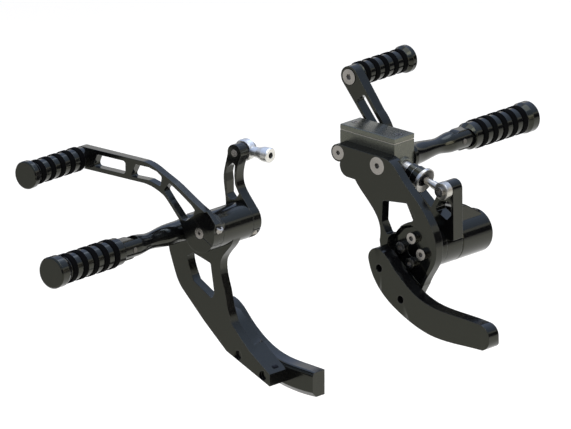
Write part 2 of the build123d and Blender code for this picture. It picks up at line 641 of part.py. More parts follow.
# Right bracket.
POCKET_FLOOR = FRAME_OUT + 9.0
SCREW_PCD_R = 14.8
SCREW_ANGLES = (-5, 85, 175, 265)
CSK_R = 10.0
PLATE_R_THIN = FRAME_OUT + 11.5
PAD_X = 20.0
PAD_Z = -20.0
with BuildPart() as right_bracket:
    with BuildSketch(across(FRAME_OUT)):
        with BuildLine():
            Line((-55.8, 14.3), (10.0, 10.6))
            Spline((10.0, 10.6), (20.1, 6.6), (36.2, -9.9), (54.9, -27.8), (67.0, -40.8), (81.6, -64.2),
                   (85.0, -80.0), (83.0, -95.0), (72.0, -114.0), (67.0, -124.0))
            Polyline((67.0, -124.0), (60.0, -136.0), (48.0, -150.0), (24.0, -131.0), (7.0, -104.0), (4.0, -83.3))
            Spline((4.0, -83.3), (0.0, -57.3), (-13.1, -41.4), (-31.3, -21.5))
            Line((-31.3, -21.5), (-43.0, -20.6))
            ThreePointArc((-43.0, -20.6), (-50.0, -16.8), (-52.8, -5.0))
            ThreePointArc((-52.8, -5.0), (-65.6, 4.5), (-55.8, 14.3))
        make_face()
    extrude(amount=FRAME_OUT - PLATE_R_OUT)
    # the plate is thinner outside the pad that the tank block sits on
    with BuildSketch(across(PLATE_R_THIN)):
        with Locations((PAD_X, 30)):
            Rectangle(200, 200, align=(Align.MIN, Align.MAX))
        with Locations((-80, PAD_Z)):
            Rectangle(200, 200, align=(Align.MIN, Align.MAX))
    extrude(amount=PLATE_R_THIN - PLATE_R_OUT - 1, mode=Mode.SUBTRACT)
    with BuildSketch(across(FRAME_OUT)):
        with BuildLine():
            Polyline((8.2, -37.8), (42.5, -34.8), (54.8, -48.5), (50.0, -54.0))
            ThreePointArc((50.0, -54.0), (35.0, -61.5), (24.0, -73.0))
            Polyline((24.0, -73.0), (14.0, -75.0), (7.0, -62.0), (8.2, -37.8))
        make_face()
        fillet(vertices(), 2.0)
    extrude(amount=FRAME_OUT - PLATE_R_OUT, mode=Mode.SUBTRACT)
    # hub round the brake pivot, behind the plate
    with BuildSketch(across(PLATE_R_THIN)):
        with Locations((BRAKE_X, BRAKE_Z)):
            Circle(CARRIER_R)
    extrude(amount=PLATE_R_THIN - PEDAL_IN + SIDE_GAP)
    # dished pocket with four screw seats
    with BuildSketch(across(FRAME_OUT)):
        with BuildLine():
            Polyline((31, -63.5), (48, -58), (64, -64), (73, -76), (79.5, -87), (75, -100), (66, -118),
                     (56, -132), (46, -125), (29, -112), (14, -97), (16, -79), (31, -63.5))
        make_face()
        fillet(vertices(), 4)
    extrude(amount=FRAME_OUT - POCKET_FLOOR, taper=22, mode=Mode.SUBTRACT)
    for ang in SCREW_ANGLES:
        px = BRAKE_X + SCREW_PCD_R * math.cos(math.radians(ang))
        pz = BRAKE_Z + SCREW_PCD_R * math.sin(math.radians(ang))
        with BuildSketch(across(FRAME_OUT)):
            with Locations((px, pz)):
                Circle(7.2)
        extrude(amount=FRAME_OUT - POCKET_FLOOR, mode=Mode.SUBTRACT)
        with BuildSketch(across(POCKET_FLOOR)):
            with Locations((px, pz)):
                Circle(3.3)
        extrude(amount=POCKET_FLOOR - PEDAL_IN, mode=Mode.SUBTRACT)
    with BuildSketch(across(POCKET_FLOOR - 1)):
        with Locations((BRAKE_X, BRAKE_Z)):
            Circle(BRAKE_SHAFT_R)
    extrude(amount=POCKET_FLOOR - 1 - PEDAL_IN, mode=Mode.SUBTRACT)
    # countersinks of the front screw and the foot-peg bolt
    for cx, cz, cr, hr in ((FRONT_X, FRONT_Z, 8.2, 4.0), (0, 0, CSK_R, 5.0)):
        with Locations(Location((cx, FRAME_OUT + 2.5, cz), (90, 0, 0))):
            Cone(hr, cr, 5.0, mode=Mode.SUBTRACT)
        with BuildSketch(across(FRAME_OUT)):
            with Locations((cx, cz)):
                Circle(hr)
        extrude(amount=FRAME_OUT - PLATE_R_OUT, mode=Mode.SUBTRACT)
    for bx, bz in R_BOLTS:
        with BuildSketch(across(FRAME_OUT)):
            with Locations((bx, bz)):
                Circle(4.0)
        extrude(amount=-10, mode=Mode.SUBTRACT)
save(right_bracket.part, "right_bracket")

# Master cylinder and tank.
TANK_TOP = [(-66.4, 32.1), (11.4, 28.8)]
LID_T = 5.6
GASKET_T = 1.4
SLOPE = math.atan2(TANK_TOP[1][1] - TANK_TOP[0][1], TANK_TOP[1][0] - TANK_TOP[0][0])
TANK_LEN = math.hypot(TANK_TOP[1][0] - TANK_TOP[0][0], TANK_TOP[1][1] - TANK_TOP[0][1])
TANK_PL = Plane(origin=(TANK_TOP[0][0], PLATE_R_OUT, TANK_TOP[0][1]), x_dir=(math.cos(SLOPE), 0, math.sin(SLOPE)),
                z_dir=(-math.sin(SLOPE), 0, math.cos(SLOPE)))
TANK_W = BLOCK_OUT - PLATE_R_OUT
CYL_Y = PLATE_R_OUT + 16.8
CYL_DIR = Vector(math.cos(math.radians(-CYL_TILT)), 0, math.sin(math.radians(-CYL_TILT)))
CYL_REAR = Vector(11.4, CYL_Y, -7.0)
CYL_FRONT = CYL_REAR - CYL_DIR * 74.0
CYL_R = 11.5
BORE_R = 7.0
SLEEVE_R = 8.4
CYL_PL = Plane(origin=CYL_REAR, x_dir=(0, 1, 0), z_dir=CYL_DIR)
COLLAR_FROM = 9.0
DISC_FROM = COLLAR_FROM + 19.0
DISC_R = 14.5


def tank_corner(along):
    down = LID_T + GASKET_T
    return (TANK_TOP[0][0] + along * math.cos(SLOPE) + down * math.sin(SLOPE),
            TANK_TOP[0][1] + along * math.sin(SLOPE) - down * math.cos(SLOPE))


def lid_holes():
    return [(8.0, TANK_W / 2), (TANK_LEN - 8.0, TANK_W / 2)]


with BuildPart() as master_cylinder:
    with BuildSketch(across(PLATE_R_OUT)):
        with BuildLine():
            Polyline(tank_corner(0), tank_corner(TANK_LEN), (11.4, -14.0), (5, -17.5), (-12, -14.5),
                     (-44, -8), (-66.4, 0), tank_corner(0))
        make_face()
    extrude(amount=-TANK_W)
    with BuildSketch(CYL_PL):
        Circle(CYL_R)
    extrude(amount=-64)
    # tank, open at the top
    with BuildSketch(TANK_PL.offset(-LID_T - GASKET_T)):
        with Locations((TANK_LEN / 2, TANK_W / 2)):
            RectangleRounded(TANK_LEN - 30, TANK_W - 10, 5)
    extrude(amount=-12, mode=Mode.SUBTRACT)
    # bore for the piston, and its wider mouth for the sleeve
    with BuildSketch(CYL_PL.offset(14)):
        Circle(BORE_R)
    extrude(amount=-68, mode=Mode.SUBTRACT)
    with BuildSketch(CYL_PL.offset(14)):
        Circle(SLEEVE_R + PRESS)
    extrude(amount=-28, mode=Mode.SUBTRACT)
    # flat seat of the gasket
    with BuildSketch(TANK_PL.offset(-LID_T - GASKET_T)):
        with Locations((TANK_LEN / 2, TANK_W / 2)):
            Rectangle(2 * TANK_LEN, 2 * TANK_W)
    extrude(amount=30, mode=Mode.SUBTRACT)
    for hx, hy in lid_holes():
        with BuildSketch(TANK_PL.offset(-LID_T - GASKET_T)):
            with Locations((hx, hy)):
                Circle(2.0)
        extrude(amount=-12, mode=Mode.SUBTRACT)
    # threads for the block screw, the foot-peg stud and the front screw
    with BuildSketch(across(PLATE_R_OUT)):
        Circle(5.0)
    extrude(amount=-8.0, mode=Mode.SUBTRACT)
    with BuildSketch(across(BLOCK_OUT)):
        Circle(5.0)
    extrude(amount=8.0, mode=Mode.SUBTRACT)
    with BuildSketch(across(PLATE_R_OUT)):
        with Locations((FRONT_X, FRONT_Z)):
            Circle(4.0)
    extrude(amount=-10, mode=Mode.SUBTRACT)
save(master_cylinder.part, "master_cylinder")

with BuildPart() as tank_gasket:
    with BuildSketch(TANK_PL.offset(-LID_T - GASKET_T)):
        with Locations((TANK_LEN / 2, TANK_W / 2)):
            Rectangle(TANK_LEN - 0.6, TANK_W - 0.6)
            RectangleRounded(TANK_LEN - 30, TANK_W - 10, 5, mode=Mode.SUBTRACT)
        with Locations(*lid_holes()):
            Circle(2.2, mode=Mode.SUBTRACT)
    extrude(amount=GASKET_T)
save(tank_gasket.part, "tank_gasket")

with BuildPart() as tank_lid:
    with BuildSketch(TANK_PL.offset(-LID_T)):
        with Locations((TANK_LEN / 2, TANK_W / 2)):
            Rectangle(TANK_LEN, TANK_W)
    extrude(amount=LID_T)
    chamfer(tank_lid.faces().sort_by(Axis.Z)[-1].edges(), 0.6)
    for hx, hy in lid_holes():
        with BuildSketch(TANK_PL):
            with Locations((hx, hy)):
                Circle(2.2)
        extrude(amount=-LID_T, mode=Mode.SUBTRACT)
        with BuildSketch(TANK_PL):
            with Locations((hx, hy)):
                Circle(4.4)
        extrude(amount=-2.4, mode=Mode.SUBTRACT)
save(tank_lid.part, "tank_lid")

with BuildPart() as lid_screws:
    for hx, hy in lid_holes():
        with BuildSketch(TANK_PL.offset(-2.4)):
            with Locations((hx, hy)):
                Circle(4.1)
        extrude(amount=2.7)
        with BuildSketch(TANK_PL.offset(-2.4)):
            with Locations((hx, hy)):
                Circle(2.0)
        extrude(amount=-14)
        with BuildSketch(TANK_PL.offset(0.3)):
            with Locations((hx, hy)):
                Rectangle(5.4, 1.1)
                Rectangle(1.1, 5.4)
        extrude(amount=-1.2, mode=Mode.SUBTRACT)
save(lid_screws.part, "lid_screws")

with BuildPart() as cylinder_sleeve:
    with BuildSketch(CYL_PL.offset(-14)):
        Circle(SLEEVE_R)
        Circle(BORE_R, mode=Mode.SUBTRACT)
    extrude(amount=14 + COLLAR_FROM)
save(cylinder_sleeve.part, "cylinder_sleeve")

with BuildPart() as adjuster_collar:
    # narrow ring, wider ring and the neck that the disc sits on
    for start, depth, radius in ((COLLAR_FROM, 8.0, 10.6), (COLLAR_FROM + 8.0, 0.8, 9.8),
                                 (COLLAR_FROM + 8.8, 8.4, 12.0), (COLLAR_FROM + 17.2, 1.8, 10.4)):
        with BuildSketch(CYL_PL.offset(start)):
            Circle(radius)
            Circle(SLEEVE_R - 1.4, mode=Mode.SUBTRACT)
        extrude(amount=depth)
    chamfer(adjuster_collar.edges().filter_by(lambda e: e.length > 65), 0.5)
save(adjuster_collar.part, "adjuster_collar")

with BuildPart() as cylinder_disc:
    with BuildSketch(CYL_PL.offset(DISC_FROM)):
        Circle(DISC_R)
        Circle(SLEEVE_R - 1.4, mode=Mode.SUBTRACT)
    extrude(amount=3.4)
    # dished rear face
    with Locations(CYL_PL.offset(DISC_FROM + 2.2).location):
        Cone(SLEEVE_R - 1.6, DISC_R - 0.6, 2.6, mode=Mode.SUBTRACT)
save(cylinder_disc.part, "cylinder_disc")

ROD_R = 3.0
PISTON_R = BORE_R - 0.05
with BuildPart() as piston:
    with BuildSketch(CYL_PL.offset(-26)):
        Circle(PISTON_R)
    extrude(amount=18)
    with BuildSketch(CYL_PL.offset(-8)):
        Circle(5.4)
    extrude(amount=-4.0, mode=Mode.SUBTRACT)
save(piston.part, "piston")

ROD_TIP = CYL_REAR + CYL_DIR * -8.0
with BuildPart() as rubber_boot:
    with BuildSketch(CYL_PL.offset(DISC_FROM - 4.0)):
        Circle(SLEEVE_R - 1.4)
        Circle(5.6, mode=Mode.SUBTRACT)
    extrude(amount=6.0)
save(rubber_boot.part, "rubber_boot")

EYE_R_OUT = 10.0
EYE_OUT = PEDAL_IN - SIDE_GAP
EYE_IN = EYE_OUT - 9.2
EYE_BOLT_R = 4.0
EYE_MID = (EYE_IN + EYE_OUT) / 2
PUSH_LINE = Vector(EYE_X, EYE_MID, EYE_Z) - ROD_TIP
PUSH_LEN = PUSH_LINE.length
PUSH_DIR = PUSH_LINE.normalized()
PUSH_PL = Plane(origin=ROD_TIP, x_dir=(0, 1, 0), z_dir=PUSH_DIR)
with BuildPart() as pushrod:
    with Locations(Location(ROD_TIP)):
        Sphere(ROD_R + 0.95)
    with BuildSketch(PUSH_PL):
        Circle(ROD_R)
    extrude(amount=PUSH_LEN - EYE_R_OUT + 4.0)
save(pushrod.part, "pushrod")

with BuildPart() as pushrod_eye:
    with BuildSketch(across(EYE_IN)):
        with Locations((EYE_X, EYE_Z)):
            Circle(EYE_R_OUT)
    extrude(amount=EYE_IN - EYE_OUT)
    chamfer(pushrod_eye.edges().filter_by(GeomType.CIRCLE), 1.0)
    with BuildSketch(PUSH_PL.offset(PUSH_LEN - EYE_R_OUT - 5.0)):
        Circle(4.5)
    extrude(amount=9.0)
    with BuildSketch(PUSH_PL.offset(PUSH_LEN - EYE_R_OUT - 6.0)):
        Circle(ROD_R)
    extrude(amount=10.0, mode=Mode.SUBTRACT)
    with BuildSketch(across(EYE_IN)):
        with Locations((EYE_X, EYE_Z)):
            Circle(EYE_BOLT_R + RUN)
    extrude(amount=EYE_IN - EYE_OUT, mode=Mode.SUBTRACT)
save(pushrod_eye.part, "pushrod_eye")

# Brake pedal.
ARM_DIR = math.atan2(BTOE_Z - BRAKE_Z, BTOE_X - BRAKE_X)
ARM_LEN = math.hypot(BTOE_Z - BRAKE_Z, BTOE_X - BRAKE_X)
TOE_END_R = 11.9


def along_arm(d, side):
    # point at distance d from the pivot towards the toe, side to the rear of the arm's middle line
    return (BRAKE_X + d * math.cos(ARM_DIR) + side * math.sin(ARM_DIR),
            BRAKE_Z + d * math.sin(ARM_DIR) - side * math.cos(ARM_DIR))


with BuildPart() as brake_pedal:
    # hub
    with BuildSketch(across(PEDAL_IN)):
        with Locations((BRAKE_X, BRAKE_Z)):
            Circle(CARRIER_R)
    extrude(amount=PEDAL_IN - PEDAL_OUT)
    # short lever that carries the pushrod
    with BuildSketch(across(PEDAL_IN)):
        with BuildLine():
            Line((76.9, EYE_Z), (77.6, -79.0))
            Line((77.6, -79.0), (50.0, -80.0))
            Line((50.0, -80.0), (26.0, -74.0))
            Spline((26.0, -74.0), (38.0, -58.0), (46.5, -45.0), (52.3, -34.5))
            Line((52.3, -34.5), (57.5, EYE_Z))
            ThreePointArc((57.5, EYE_Z), (67.2, EYE_Z + 9.7), (76.9, EYE_Z))
        make_face()
    extrude(amount=PEDAL_IN - CRANK_OUT)
    with BuildSketch(across(PEDAL_IN)):
        with BuildLine():
            Polyline((57.5, -37.5), (70.5, -36.2), (74.0, -39.5), (73.6, -51.5), (67.8, -57.5), (53.5, -50.0),
                     (52.2, -46.0), (57.5, -37.5))
        make_face()
        fillet(vertices(), 1.7)
    extrude(amount=PEDAL_IN - CRANK_OUT, mode=Mode.SUBTRACT)
    # long arm with its slot, bent a little forward where it passes the foot-peg arm
    with BuildSketch(across(PEDAL_ARM_IN)):
        with BuildLine():
            Line((BRAKE_X + 18.6, BRAKE_Z + 14.5), (-12.0, -15.0))
            Spline((-12.0, -15.0), (-21.5, 3.0), along_arm(ARM_LEN - 70, 11.0), along_arm(ARM_LEN - 50, 11.2))
            Line(along_arm(ARM_LEN - 50, 11.2), along_arm(ARM_LEN, TOE_END_R))
            ThreePointArc(along_arm(ARM_LEN, TOE_END_R), along_arm(ARM_LEN + TOE_END_R, 0),
                          along_arm(ARM_LEN, -TOE_END_R))
            Line(along_arm(ARM_LEN, -TOE_END_R), along_arm(ARM_LEN - 50, -10.2))
            Spline(along_arm(ARM_LEN - 50, -10.2), along_arm(ARM_LEN - 70, -10.2), (-40.0, -8.0), (-24.0, -33.0),
                   (0.0, -55.0))
            Line((0.0, -55.0), (BRAKE_X - 19.5, BRAKE_Z - 13.0))
            Line((BRAKE_X - 19.5, BRAKE_Z - 13.0), (BRAKE_X + 18.6, BRAKE_Z + 14.5))
        make_face()
    extrude(amount=PEDAL_ARM_IN - PEDAL_OUT)
    with BuildSketch(across(PEDAL_ARM_IN)):
        with BuildLine():
            Polyline(along_arm(ARM_LEN - 26, -7.6), along_arm(ARM_LEN - 26, 7.0), along_arm(ARM_LEN - 68, 7.2),
                     (-17.6, -5.0), (-3.0, -30.0), (-9.0, -36.5), (-21.0, -28.0), (-34.0, -9.0),
                     along_arm(ARM_LEN - 68, -6.4), along_arm(ARM_LEN - 26, -7.6))
        make_face()
        fillet(vertices(), 2)
    extrude(amount=PEDAL_ARM_IN - PEDAL_OUT, mode=Mode.SUBTRACT)
    for hx, hz, hr in ((BRAKE_X, BRAKE_Z, BRAKE_BUSH_R), (EYE_X, EYE_Z, EYE_BOLT_R), (BTOE_X, BTOE_Z, 5.0)):
        with BuildSketch(across(PEDAL_IN)):
            with Locations((hx, hz)):
                Circle(hr)
        extrude(amount=PEDAL_IN - PEDAL_OUT, mode=Mode.SUBTRACT)
    with BuildSketch(across(PEDAL_ARM_IN)):
        with Locations((BTOE_X, BTOE_Z)):
            Circle(9.2)
    extrude(amount=-3.6, mode=Mode.SUBTRACT)
save(brake_pedal.part, "brake_pedal")

with BuildPart() as brake_bush:
    with BuildSketch(across(PEDAL_IN)):
        with Locations((BRAKE_X, BRAKE_Z)):
            Circle(BRAKE_BUSH_R)
            Circle(BRAKE_SHAFT_R + RUN, mode=Mode.SUBTRACT)
    extrude(amount=PEDAL_IN - PEDAL_OUT)
save(brake_bush.part, "brake_bush")

with BuildPart() as eye_screw:
    with BuildSketch(across(EYE_IN)):
        with Locations((EYE_X, EYE_Z)):
            Circle(5.6)
    extrude(amount=4.0)
    with BuildSketch(across(EYE_IN)):
        with Locations((EYE_X, EYE_Z)):
            Circle(EYE_BOLT_R)
    extrude(amount=EYE_IN - CRANK_OUT + 0.3)
    with BuildSketch(across(EYE_IN - 4.0)):
        with Locations((EYE_X, EYE_Z)):
            RegularPolygon(3.0, 6)
    extrude(amount=-2.6, mode=Mode.SUBTRACT)
save(eye_screw.part, "eye_screw")

R_TOE_END = 290.0
rtoe_ends = [R_TOE_END - 13.0 - k * TOE_PITCH for k in range(5)]
save(toe_core_part(1, BTOE_X, BTOE_Z, PEDAL_OUT, R_TOE_END, 5), "brake_toe_peg")
save(peg_rings_part(1, rtoe_ends, TOE_RING_W, TOE_RING_R, TOE_GROOVE_R + RUN, BTOE_X, BTOE_Z),
     "brake_toe_rings")
save(toe_screw_part(1, BTOE_X, BTOE_Z, PEDAL_ARM_IN + 3.6, PEDAL_OUT, 8.8), "brake_toe_screw")

# Pivot carrier and its screws.
CARRIER_IN = PEDAL_OUT + SIDE_GAP
with BuildPart() as pivot_carrier:
    with BuildSketch(across(CARRIER_IN)):
        with Locations((BRAKE_X, BRAKE_Z)):
            Circle(CARRIER_R)
    extrude(amount=CARRIER_IN - CARRIER_OUT)
    fillet(pivot_carrier.faces().sort_by(Axis.Y)[-1].edges(), 2.5)
    # lug with a flat top
    with BuildSketch(across(224)):
        with BuildLine():
            Polyline((42, -74), (42, -51.0), (66, -52.4), (69.0, -56), (69.3, -80), (42, -74))
        make_face()
    extrude(amount=-16)
    # bore for the end of the brake shaft
    with BuildSketch(across(CARRIER_IN)):
        with Locations((BRAKE_X, BRAKE_Z)):
            Circle(BRAKE_SHAFT_R)
    extrude(amount=-24, mode=Mode.SUBTRACT)
save(pivot_carrier.part, "pivot_carrier")

with BuildPart() as carrier_screws:
    for ang in SCREW_ANGLES:
        px = BRAKE_X + SCREW_PCD_R * math.cos(math.radians(ang))
        pz = BRAKE_Z + SCREW_PCD_R * math.sin(math.radians(ang))
        with BuildSketch(across(POCKET_FLOOR)):
            with Locations((px, pz)):
                Circle(6.4)
        extrude(amount=5.5)
        with BuildSketch(across(POCKET_FLOOR)):
            with Locations((px, pz)):
                Circle(3.3)
        extrude(amount=-18)
        with BuildSketch(across(POCKET_FLOOR - 5.5)):
            with Locations((px, pz)):
                RegularPolygon(3.0, 6)
        extrude(amount=-3.5, mode=Mode.SUBTRACT)
save(carrier_screws.part, "carrier_screws")

with BuildPart() as brake_shaft:
    with BuildSketch(across(POCKET_FLOOR + 1)):
        with Locations((BRAKE_X, BRAKE_Z)):
            Circle(BRAKE_SHAFT_R)
    extrude(amount=POCKET_FLOOR + 1 - CARRIER_IN - 23)
save(brake_shaft.part, "brake_shaft")

with BuildPart() as plate_screw:
    with Locations(Location((FRONT_X, FRAME_OUT + 2.5, FRONT_Z), (90, 0, 0))):
        Cone(4.0, 8.2, 5.0)
    with BuildSketch(across(FRAME_OUT + 4.9)):
        with Locations((FRONT_X, FRONT_Z)):
            Circle(4.0)
    extrude(amount=-17)
    with BuildSketch(across(FRAME_OUT)):
        with Locations((FRONT_X, FRONT_Z)):
            RegularPolygon(2.8, 6)
    extrude(amount=-3.5, mode=Mode.SUBTRACT)
save(plate_screw.part, "plate_screw")

with BuildPart() as right_peg_bolt:
    with Locations(Location((0, FRAME_OUT + 2.5, 0), (90, 0, 0))):
        Cone(5.0, CSK_R, 5.0)
    with BuildSketch(across(FRAME_OUT + 4.9)):
        Circle(5.0)
    extrude(amount=-(PLATE_R_OUT + 7.5 - FRAME_OUT - 4.9))
    with BuildSketch(across(FRAME_OUT)):
        RegularPolygon(3.4, 6)
    extrude(amount=-4.0, mode=Mode.SUBTRACT)
save(right_peg_bolt.part, "right_peg_bolt")
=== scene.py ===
"""Looks for a pair of forward foot controls: finishes, small modelled details, studio and camera."""

import json
import math

import bpy
from mathutils import Matrix, Vector


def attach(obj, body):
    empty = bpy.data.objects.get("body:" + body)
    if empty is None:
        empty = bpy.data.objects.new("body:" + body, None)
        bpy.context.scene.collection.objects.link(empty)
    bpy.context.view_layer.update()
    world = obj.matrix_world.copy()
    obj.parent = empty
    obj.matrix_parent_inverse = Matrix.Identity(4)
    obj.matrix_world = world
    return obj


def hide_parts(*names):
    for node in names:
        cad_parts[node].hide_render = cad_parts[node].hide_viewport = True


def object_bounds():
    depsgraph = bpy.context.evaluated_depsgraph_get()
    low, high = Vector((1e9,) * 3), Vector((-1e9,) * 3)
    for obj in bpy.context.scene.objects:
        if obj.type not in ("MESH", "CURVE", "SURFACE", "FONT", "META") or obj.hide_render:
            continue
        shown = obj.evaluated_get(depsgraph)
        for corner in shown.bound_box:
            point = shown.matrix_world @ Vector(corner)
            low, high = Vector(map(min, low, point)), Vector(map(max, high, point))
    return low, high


bl_info = {
    "name": "Forward foot controls",
    "version": (1, 0, 0),
    "blender": (4, 5, 0),
    "location": "View3D > Sidebar > Foot controls",
    "description": "Finishes, small details and a studio for a pair of forward foot controls",
    "category": "Object",
}

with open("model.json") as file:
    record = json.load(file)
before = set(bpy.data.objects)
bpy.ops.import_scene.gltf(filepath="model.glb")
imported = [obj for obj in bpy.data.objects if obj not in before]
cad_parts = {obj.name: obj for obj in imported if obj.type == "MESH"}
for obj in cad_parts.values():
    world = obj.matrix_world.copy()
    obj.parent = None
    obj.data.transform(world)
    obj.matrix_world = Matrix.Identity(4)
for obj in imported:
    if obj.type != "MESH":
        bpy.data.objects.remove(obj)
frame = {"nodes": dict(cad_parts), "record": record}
CAD_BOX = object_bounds()
SLOTS = {part["node"]: part["material_slot"] for part in frame["record"]["subparts"]}

# The scene is in metres, as the real part is.
MM = 0.001

# The photograph's view: turned 40.5 degrees to the right of straight ahead and 16.4 degrees above.
VIEW_TURN = math.radians(40.5)
VIEW_RISE = math.radians(16.4)
PHOTO_WIDTH = 571
PIXELS_PER_MM = 0.92
# The middle of the photograph, in millimetres right of and above the frame's origin.
PHOTO_MIDDLE = (-8.97, -23.1)


def linear(code):
    """Turns an sRGB hex colour such as "#1a1a1c" into linear red, green, blue and alpha."""
    parts = [int(code[i : i + 2], 16) / 255 for i in (1, 3, 5)]
    return tuple(c / 12.92 if c <= 0.04045 else ((c + 0.055) / 1.055) ** 2.4 for c in parts) + (1.0,)


def millimetres(length):
    """Turns a length from the settings into millimetres, without its single-precision noise."""
    return round(length / MM, 4)


def add_node(material, kind, settings=None, links=None):
    """Adds one shader node. Settings name properties or sockets, links name a socket and what feeds it."""
    node = material.node_tree.nodes.new("ShaderNode" + kind)
    for name, value in (settings or {}).items():
        if isinstance(name, str) and hasattr(node, name):
            setattr(node, name, value)
        else:
            node.inputs[name].default_value = value
    for name, source in (links or {}).items():
        material.node_tree.links.new(source, node.inputs[name])
    return node


def new_material(name):
    """Makes an empty node material and returns it with its shader and its output joined."""
    material = bpy.data.materials.new(name)
    material.use_nodes = True
    material.node_tree.nodes.clear()
    shader = add_node(material, "BsdfPrincipled")
    add_node(material, "OutputMaterial", links={"Surface": shader.outputs[0]})
    return material, shader


def join(material, source, shader, socket):
    """Feeds a shader socket from another node."""
    material.node_tree.links.new(source, shader.inputs[socket])


def seen(material):
    """Returns 1 for what the camera, a mirror or a glass sees, and 0 for what only lights the scene."""
    path = add_node(material, "LightPath").outputs
    straight = {0: path["Is Camera Ray"], 1: path["Is Glossy Ray"]}
    glossy = add_node(material, "Math", {"operation": "MAXIMUM"}, straight)
    clear = {0: glossy.outputs[0], 1: path["Is Transmission Ray"]}
    return add_node(material, "Math", {"operation": "MAXIMUM"}, clear).outputs[0]


def nodes_in(slot):
    """Lists the CAD nodes that the record gives one material slot."""
    return [node for node, name in SLOTS.items() if name == slot]


def paint(node_names, material):
    """Gives the CAD nodes one material."""
    for name in node_names:
        mesh = frame["nodes"][name].data
        mesh.materials.clear()
        mesh.materials.append(material)


def anodised_aluminium(settings, name, dyes, marks_along=None, roughness=(0.10, 0.17), index=1.41):
    """Aluminium, dyed black and sealed: the oxide is a clear glassy layer over a black ground.

    It shows the studio sharply but faintly at square angles and strongly at grazing ones.
    """
    material, shader = new_material(name)
    place = add_node(material, "TexCoord").outputs["Object"]
    # Faint clouds in the dye, about 25 mm across.
    clouds = add_node(material, "TexNoise", {"Scale": 1 / (25 * MM), "Detail": 3.0}, {"Vector": place})
    dye = add_node(
        material, "MixRGB", {"Color1": dyes[0], "Color2": dyes[1]}, {"Fac": clouds.outputs["Fac"]}
    )
    # Tool marks are 0.1 mm apart, which is too fine to show. A noise of 18 mm is drawn 30 times as
    # tight across them, 0.6 mm apart, or 3 mm all ways where a surface has no direction.
    stretch = {"X": (1.0, 30.0, 30.0), None: (6.0, 6.0, 6.0)}[marks_along]
    lay = add_node(material, "Mapping", {"Scale": stretch}, {"Vector": place})
    marks = add_node(material, "TexNoise", {"Scale": 55.0, "Detail": 2.0}, {"Vector": lay.outputs[0]})
    # The edges are eased, and a paler grey is mixed in along them as a painted highlight.
    eased = add_node(material, "Bevel", {"samples": 6, "Radius": settings.edge_ease})
    flat = add_node(material, "NewGeometry")
    normals = {0: eased.outputs[0], 1: flat.outputs["Normal"]}
    match = add_node(material, "VectorMath", {"operation": "DOT_PRODUCT"}, normals)
    edge = add_node(
        material,
        "MapRange",
        {"From Min": 0.995, "From Max": 0.8, "To Min": 0.0, "To Max": 0.35},
        {"Value": match.outputs["Value"]},
    )
    # Painted highlight: the dye turns towards the paler edge colour along the eased edges.
    painted_edge_highlight = add_node(
        material,
        "MixRGB",
        {"Color2": settings.anodised_edge_highlight},
        {"Fac": edge.outputs[0], "Color1": dye.outputs[0]},
    )
    join(material, painted_edge_highlight.outputs[0], shader, "Base Color")
    rough = add_node(
        material,
        "MapRange",
        {"From Min": 0.3, "From Max": 0.7, "To Min": roughness[0], "To Max": roughness[1]},
        {"Value": marks.outputs["Fac"]},
    )
    join(material, rough.outputs[0], shader, "Roughness")
    bump = add_node(
        material,
        "Bump",
        {"Strength": 0.06, "Distance": 0.05 * MM},
        {"Height": marks.outputs["Fac"], "Normal": eased.outputs[0]},
    )
    join(material, bump.outputs[0], shader, "Normal")
    shader.inputs["IOR"].default_value = index
    # The seal reflects a little warmer and greener than it is lit.
    shader.inputs["Specular Tint"].default_value = linear("#f1f4d9")
    return material


def satin_metal(name, dark, light, roughness):
    """A bare or plated metal: full reflection, tinted by the metal and blurred by a fine random grain."""
    material, shader = new_material(name)
    place = add_node(material, "TexCoord").outputs["Object"]
    # The grain is near 0.05 mm, which is too fine to show, so it is drawn at 0.8 mm.
    # The tint varies over 17 mm.
    grain = add_node(material, "TexNoise", {"Scale": 1200.0, "Detail": 3.0}, {"Vector": place})
    cloud = add_node(material, "TexNoise", {"Scale": 60.0, "Detail": 2.0}, {"Vector": place})
    tints = {"Color1": linear(dark), "Color2": linear(light)}
    tint = add_node(material, "MixRGB", tints, {"Fac": cloud.outputs["Fac"]})
    join(material, tint.outputs[0], shader, "Base Color")
    rough = add_node(
        material,
        "MapRange",
        {"From Min": 0.3, "From Max": 0.7, "To Min": roughness * 0.8, "To Max": roughness * 1.25},
        {"Value": grain.outputs["Fac"]},
    )
    join(material, rough.outputs[0], shader, "Roughness")
    eased = add_node(material, "Bevel", {"samples": 4, "Radius": 0.25 * MM})
    bump = add_node(
        material,
        "Bump",
        {"Strength": 0.08, "Distance": 0.05 * MM},
        {"Height": grain.outputs["Fac"], "Normal": eased.outputs[0]},
    )
    join(material, bump.outputs[0], shader, "Normal")
    shader.inputs["Metallic"].default_value = 1.0
    return material


def moulded_rubber(name, dark, light, roughness, shine):
    """Rubber as it leaves the mould: matt, with a very fine pitted skin."""
    material, shader = new_material(name)
    place = add_node(material, "TexCoord").outputs["Object"]
    # Pits of about 1 mm, which is as fine as shows, and dust in patches of 11 mm.
    skin = add_node(material, "TexNoise", {"Scale": 900.0, "Detail": 4.0}, {"Vector": place})
    dust = add_node(material, "TexNoise", {"Scale": 90.0, "Detail": 3.0}, {"Vector": place})
    tints = {"Color1": linear(dark), "Color2": linear(light)}
    tint = add_node(material, "MixRGB", tints, {"Fac": dust.outputs["Fac"]})
    join(material, tint.outputs[0], shader, "Base Color")
    rough = add_node(
        material,
        "MapRange",
        {"From Min": 0.3, "From Max": 0.7, "To Min": roughness - 0.08, "To Max": roughness + 0.08},
        {"Value": dust.outputs["Fac"]},
    )
    join(material, rough.outputs[0], shader, "Roughness")
    pits = {"Strength": 0.25, "Distance": 0.08 * MM}
    bump = add_node(material, "Bump", pits, {"Height": skin.outputs["Fac"]})
    join(material, bump.outputs[0], shader, "Normal")
    shader.inputs["Specular IOR Level"].default_value = shine
    return material


